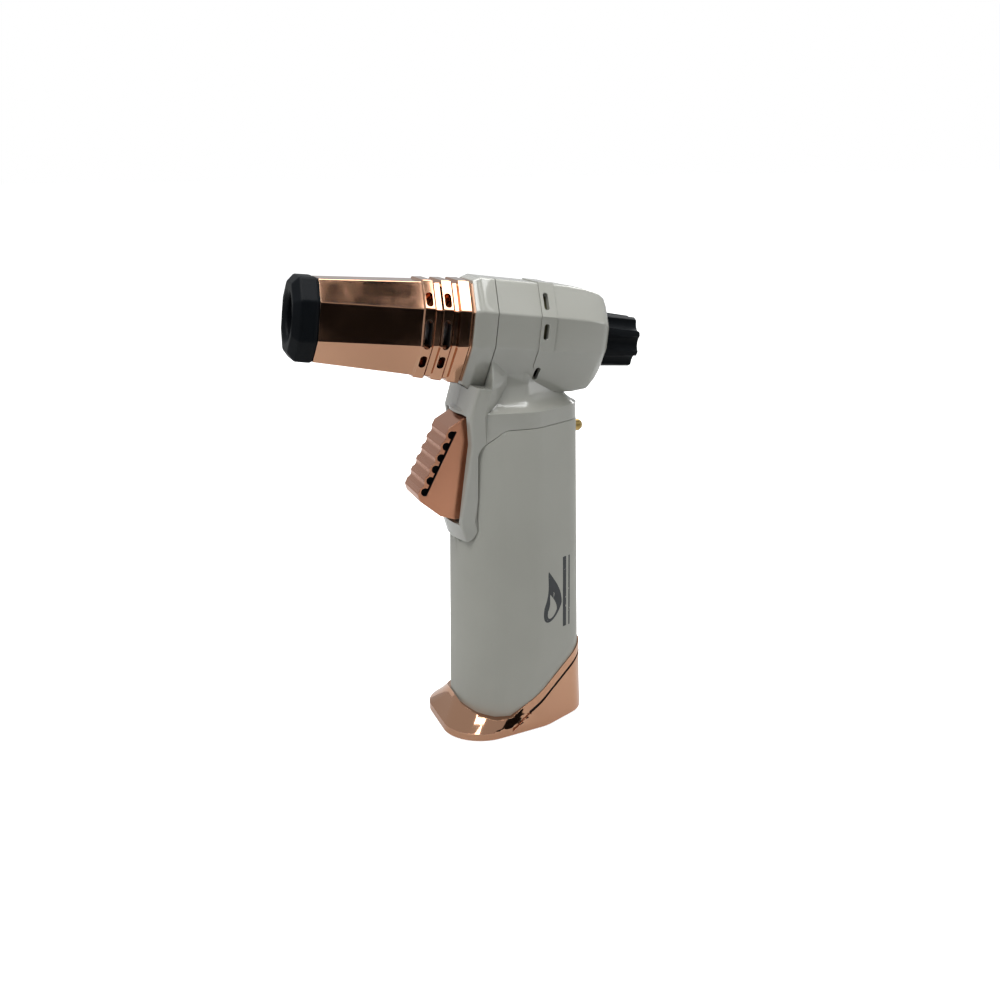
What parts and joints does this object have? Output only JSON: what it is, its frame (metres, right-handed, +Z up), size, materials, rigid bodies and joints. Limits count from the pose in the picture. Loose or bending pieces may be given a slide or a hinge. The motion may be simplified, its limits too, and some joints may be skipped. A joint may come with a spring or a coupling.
{
  "type": "pistol-grip butane jet torch",
  "caption": "Hand torch with a refillable butane tank in the grip, a piezo trigger, a flame knob and a faceted burner head.",
  "frame": {"origin": "middle of the grip, on the plane the base stands on", "axes": "+Z up, -X towards the muzzle, +X towards the flame knob, -Y the torch's left side"},
  "size_m": [0.1169, 0.0424, 0.1545],
  "materials": {
    "gloss_shell": "glossy",
    "grip_matte": "satin",
    "rose_plate": "mirror",
    "black_heatproof": "satin",
    "brass": "machined",
    "steel": "bright",
    "ceramic": "glazed",
    "rubber": "matte",
    "wire_sheath": "satin",
    "tank_plastic": "translucent moulding",
    "inner_plastic": "as moulded",
    "liner_olive": "dull"
  },
  "bodies": {
    "frame": {"muzzle_guard": "black_heatproof", "barrel_shroud": "rose_plate", "burner_tube": "steel", "flame_screen": "steel", "electrode_insulator": "ceramic", "electrode": "steel", "mixing_tube": "brass", "gas_jet": "brass", "flow_valve_body": "brass", "spindle_seal": "rubber", "head_collar": "gloss_shell", "vent_band": "gloss_shell", "heat_liner": "liner_olive", "shell_screws": "steel", "head_shell_left": "gloss_shell", "head_shell_right": "gloss_shell", "trigger_pin": "steel", "piezo_case": "inner_plastic", "return_spring": "steel", "piezo_cradle": "inner_plastic", "main_valve_body": "brass", "valve_spring": "steel", "fuel_tank": "tank_plastic", "tank_seal": "rubber", "tank_lid": "tank_plastic", "fill_tube": "brass", "refill_valve_body": "brass", "refill_spring": "steel", "refill_seal": "rubber", "gas_hose": "rubber", "ignition_wire": "wire_sheath", "grip_cover": "grip_matte", "base_shoe": "rose_plate", "base_plate": "inner_plastic", "base_screws": "steel", "foot_pad": "rubber"},
    "trigger": {"trigger": "rose_plate"},
    "plunger": {"piezo_plunger": "tank_plastic"},
    "slide": {"gas_slide": "inner_plastic"},
    "main_stem": {"main_valve_stem": "brass"},
    "knob": {"flame_knob": "black_heatproof", "needle_spindle": "brass"},
    "refill": {"refill_stem": "brass"}
  },
  "joints": [
    {"name": "trigger_pull", "type": "hinge", "parent": "frame", "child": "trigger", "pos_m": [-0.0165, 0, 0.1065], "axis": [0, -1, 0], "range_deg": [0, 10], "stiffness_Nm_per_rad": 0.5, "springref_deg": -5.73},
    {"name": "plunger_push", "type": "slide", "parent": "frame", "child": "plunger", "axis": [1, 0, 0], "range_m": [0, 0.0035], "deforming": ["return_spring"]},
    {"name": "gas_slide_push", "type": "slide", "parent": "frame", "child": "slide", "axis": [1, 0, 0], "range_m": [0, 0.0048]},
    {"name": "main_stem_press", "type": "slide", "parent": "frame", "child": "main_stem", "axis": [0, 0, -1], "range_m": [0, 0.00121], "deforming": ["valve_spring"]},
    {"name": "flame_adjust", "type": "hinge", "parent": "frame", "child": "knob", "pos_m": [0, 0, 0.1334], "axis": [0.9927, 0, -0.121], "range_deg": [-135, 135]},
    {"name": "refill_press", "type": "slide", "parent": "frame", "child": "refill", "axis": [-1, 0, 0], "range_m": [0, 0.0015], "stiffness_N_per_m": 400, "springref_m": -0.001, "deforming": ["refill_spring"]}
  ],
  "couplings": [
    {"joint": "plunger_push", "follows": "trigger_pull", "m_per_rad": 0.02},
    {"joint": "gas_slide_push", "follows": "trigger_pull", "m_per_rad": 0.0275},
    {"joint": "main_stem_press", "follows": "trigger_pull", "m_per_rad": 0.006875}
  ]
}
